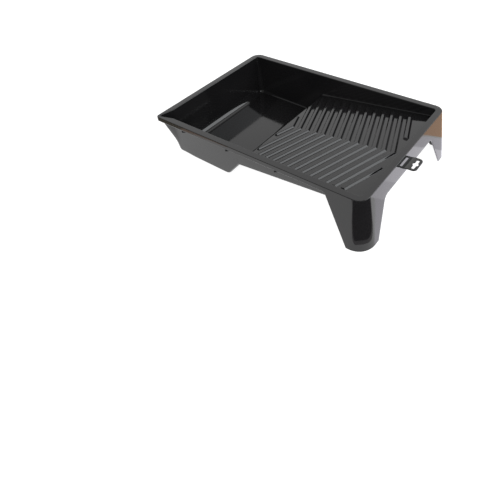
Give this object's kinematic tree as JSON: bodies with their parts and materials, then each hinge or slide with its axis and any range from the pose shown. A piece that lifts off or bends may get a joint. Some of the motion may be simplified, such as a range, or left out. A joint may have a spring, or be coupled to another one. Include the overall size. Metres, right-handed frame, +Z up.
{
  "type": "paint roller tray",
  "caption": "Moulded paint roller tray with a deep reservoir, a ribbed chevron ramp, a turned-down rim with a pouring corner, hollow legs and a fold-out hanging tab.",
  "frame": {"origin": "middle of the tray's bounding box, on the surface that it stands on", "axes": "+X from the reservoir towards the legs, +Y towards the side away from the pouring corner, +Z up"},
  "size_m": [0.4626, 0.3088, 0.0956],
  "materials": {
    "tray_plastic": "glossy black moulded polypropylene",
    "tab_plastic": "satin black moulded polypropylene"
  },
  "bodies": {
    "tray": {"end_skirt": "tray_plastic", "grip_rib_00": "tray_plastic", "grip_rib_01": "tray_plastic", "grip_rib_02": "tray_plastic", "grip_rib_03": "tray_plastic", "grip_rib_04": "tray_plastic", "grip_rib_05": "tray_plastic", "grip_rib_06": "tray_plastic", "grip_rib_07": "tray_plastic", "grip_rib_08": "tray_plastic", "grip_rib_09": "tray_plastic", "grip_rib_10": "tray_plastic", "grip_rib_11": "tray_plastic", "grip_rib_12": "tray_plastic", "grip_rib_13": "tray_plastic", "leg_corner_far": "tray_plastic", "leg_corner_near": "tray_plastic", "leg_end_far": "tray_plastic", "leg_end_near": "tray_plastic", "leg_shoulder_far": "tray_plastic", "leg_shoulder_near": "tray_plastic", "leg_side_far": "tray_plastic", "leg_side_near": "tray_plastic", "lip_corner_far": "tray_plastic", "lip_corner_near": "tray_plastic", "lip_far": "tray_plastic", "lip_near": "tray_plastic", "lip_reservoir_end": "tray_plastic", "pour_spout": "tray_plastic", "ramp_deck": "tray_plastic", "ramp_end_wall": "tray_plastic", "ramp_wall_far": "tray_plastic", "ramp_wall_near": "tray_plastic", "reservoir_back_wall": "tray_plastic", "reservoir_end_wall": "tray_plastic", "reservoir_floor": "tray_plastic", "reservoir_wall_far": "tray_plastic", "reservoir_wall_near": "tray_plastic", "rim_far": "tray_plastic", "rim_gussets_far": "tray_plastic", "rim_gussets_near": "tray_plastic", "rim_leg_end": "tray_plastic", "rim_near": "tray_plastic", "rim_reservoir_end": "tray_plastic", "valance_far": "tray_plastic", "valance_near": "tray_plastic"},
    "tab": {"hang_tab": "tab_plastic"}
  },
  "joints": [
    {"name": "tab_fold", "type": "hinge", "parent": "tray", "child": "tab", "pos_m": [0.20576, -0.0195, 0.08702], "axis": [0, 1, 0], "range_deg": [-15, 80]}
  ]
}
